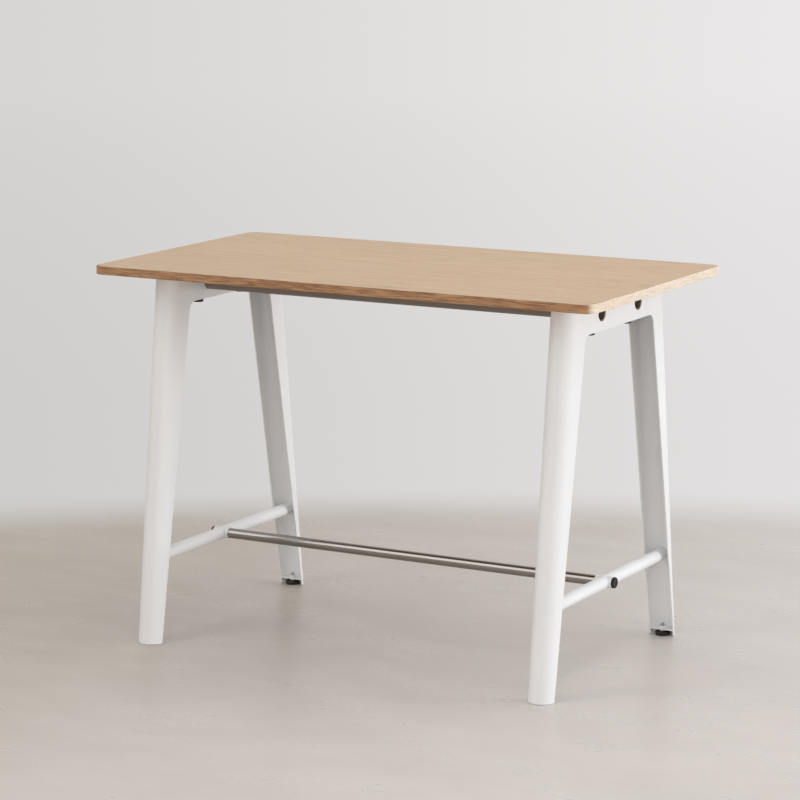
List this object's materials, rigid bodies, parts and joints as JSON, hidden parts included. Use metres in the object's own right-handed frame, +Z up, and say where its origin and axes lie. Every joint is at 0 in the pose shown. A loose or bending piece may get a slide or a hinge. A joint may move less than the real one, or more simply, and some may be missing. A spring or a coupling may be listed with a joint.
{
  "type": "standing meeting table",
  "caption": "Standing-height meeting table: oak-veneered top on white end frames folded from steel sheet, joined by beams under the top and a round steel footrest.",
  "frame": {"origin": "on the floor, at the middle of the table", "axes": "+X along the table's long side, +Y across it to the rear, +Z up"},
  "size_m": [1.3, 0.7, 0.9],
  "materials": {
    "oak_veneer": "matt-lacquered light oak veneer on board, grain along X",
    "oak_edge_band": "matt-lacquered oak edge band",
    "white_powder_coat": "smooth satin white powder coat on steel",
    "taupe_powder_coat": "satin taupe-grey powder coat on steel",
    "brushed_stainless": "brushed stainless tube",
    "zinc_plated_steel": "bright zinc plate",
    "black_moulded_plastic": "fine matt black moulding"
  },
  "bodies": {
    "table": {"tabletop_panel": "oak_veneer", "tabletop_edge_band": "oak_edge_band", "tabletop_screws": "zinc_plated_steel", "front_beam": "taupe_powder_coat", "rear_beam": "taupe_powder_coat", "beam_saddle_nuts": "zinc_plated_steel", "beam_cap_studs": "zinc_plated_steel", "footrest_tube": "brushed_stainless", "foot_weld_nuts": "white_powder_coat", "right_crossbar": "white_powder_coat", "left_crossbar": "white_powder_coat", "right_footrest_sleeve": "white_powder_coat", "right_footrest_plug": "zinc_plated_steel", "right_footrest_cap": "black_moulded_plastic", "right_footrest_stud": "zinc_plated_steel", "left_footrest_sleeve": "white_powder_coat", "left_footrest_plug": "zinc_plated_steel", "left_footrest_cap": "black_moulded_plastic", "left_footrest_stud": "zinc_plated_steel", "right_front_leg_shell": "white_powder_coat", "right_front_foot_plate": "white_powder_coat", "right_front_beam_bridge": "white_powder_coat", "right_front_beam_cap": "black_moulded_plastic", "right_rear_leg_shell": "white_powder_coat", "right_rear_foot_plate": "white_powder_coat", "right_rear_beam_bridge": "white_powder_coat", "right_rear_beam_cap": "black_moulded_plastic", "left_front_leg_shell": "white_powder_coat", "left_front_foot_plate": "white_powder_coat", "left_front_beam_bridge": "white_powder_coat", "left_front_beam_cap": "black_moulded_plastic", "left_rear_leg_shell": "white_powder_coat", "left_rear_foot_plate": "white_powder_coat", "left_rear_beam_bridge": "white_powder_coat", "left_rear_beam_cap": "black_moulded_plastic"},
    "right_front_pad": {"right_front_levelling_pad": "black_moulded_plastic"},
    "right_front_stud": {"right_front_levelling_stud": "zinc_plated_steel"},
    "right_rear_pad": {"right_rear_levelling_pad": "black_moulded_plastic"},
    "right_rear_stud": {"right_rear_levelling_stud": "zinc_plated_steel"},
    "left_front_pad": {"left_front_levelling_pad": "black_moulded_plastic"},
    "left_front_stud": {"left_front_levelling_stud": "zinc_plated_steel"},
    "left_rear_pad": {"left_rear_levelling_pad": "black_moulded_plastic"},
    "left_rear_stud": {"left_rear_levelling_stud": "zinc_plated_steel"}
  },
  "joints": [
    {"name": "right_front_foot_extend", "type": "slide", "parent": "table", "child": "right_front_pad", "axis": [0, 0, -1], "range_m": [0, 0.008]},
    {"name": "right_front_stud_turn", "type": "hinge", "parent": "right_front_pad", "child": "right_front_stud", "pos_m": [0.52, -0.326, 0], "axis": [0, 0, -1], "range_deg": [0, 2304]},
    {"name": "right_rear_foot_extend", "type": "slide", "parent": "table", "child": "right_rear_pad", "axis": [0, 0, -1], "range_m": [0, 0.008]},
    {"name": "right_rear_stud_turn", "type": "hinge", "parent": "right_rear_pad", "child": "right_rear_stud", "pos_m": [0.52, 0.326, 0], "axis": [0, 0, -1], "range_deg": [0, 2304]},
    {"name": "left_front_foot_extend", "type": "slide", "parent": "table", "child": "left_front_pad", "axis": [0, 0, -1], "range_m": [0, 0.008]},
    {"name": "left_front_stud_turn", "type": "hinge", "parent": "left_front_pad", "child": "left_front_stud", "pos_m": [-0.52, -0.326, 0], "axis": [0, 0, -1], "range_deg": [0, 2304]},
    {"name": "left_rear_foot_extend", "type": "slide", "parent": "table", "child": "left_rear_pad", "axis": [0, 0, -1], "range_m": [0, 0.008]},
    {"name": "left_rear_stud_turn", "type": "hinge", "parent": "left_rear_pad", "child": "left_rear_stud", "pos_m": [-0.52, 0.326, 0], "axis": [0, 0, -1], "range_deg": [0, 2304]}
  ],
  "couplings": [
    {"joint": "right_front_stud_turn", "follows": "right_front_foot_extend", "rad_per_m": 5026.5},
    {"joint": "right_rear_stud_turn", "follows": "right_rear_foot_extend", "rad_per_m": 5026.5},
    {"joint": "left_front_stud_turn", "follows": "left_front_foot_extend", "rad_per_m": 5026.5},
    {"joint": "left_rear_stud_turn", "follows": "left_rear_foot_extend", "rad_per_m": 5026.5}
  ]
}
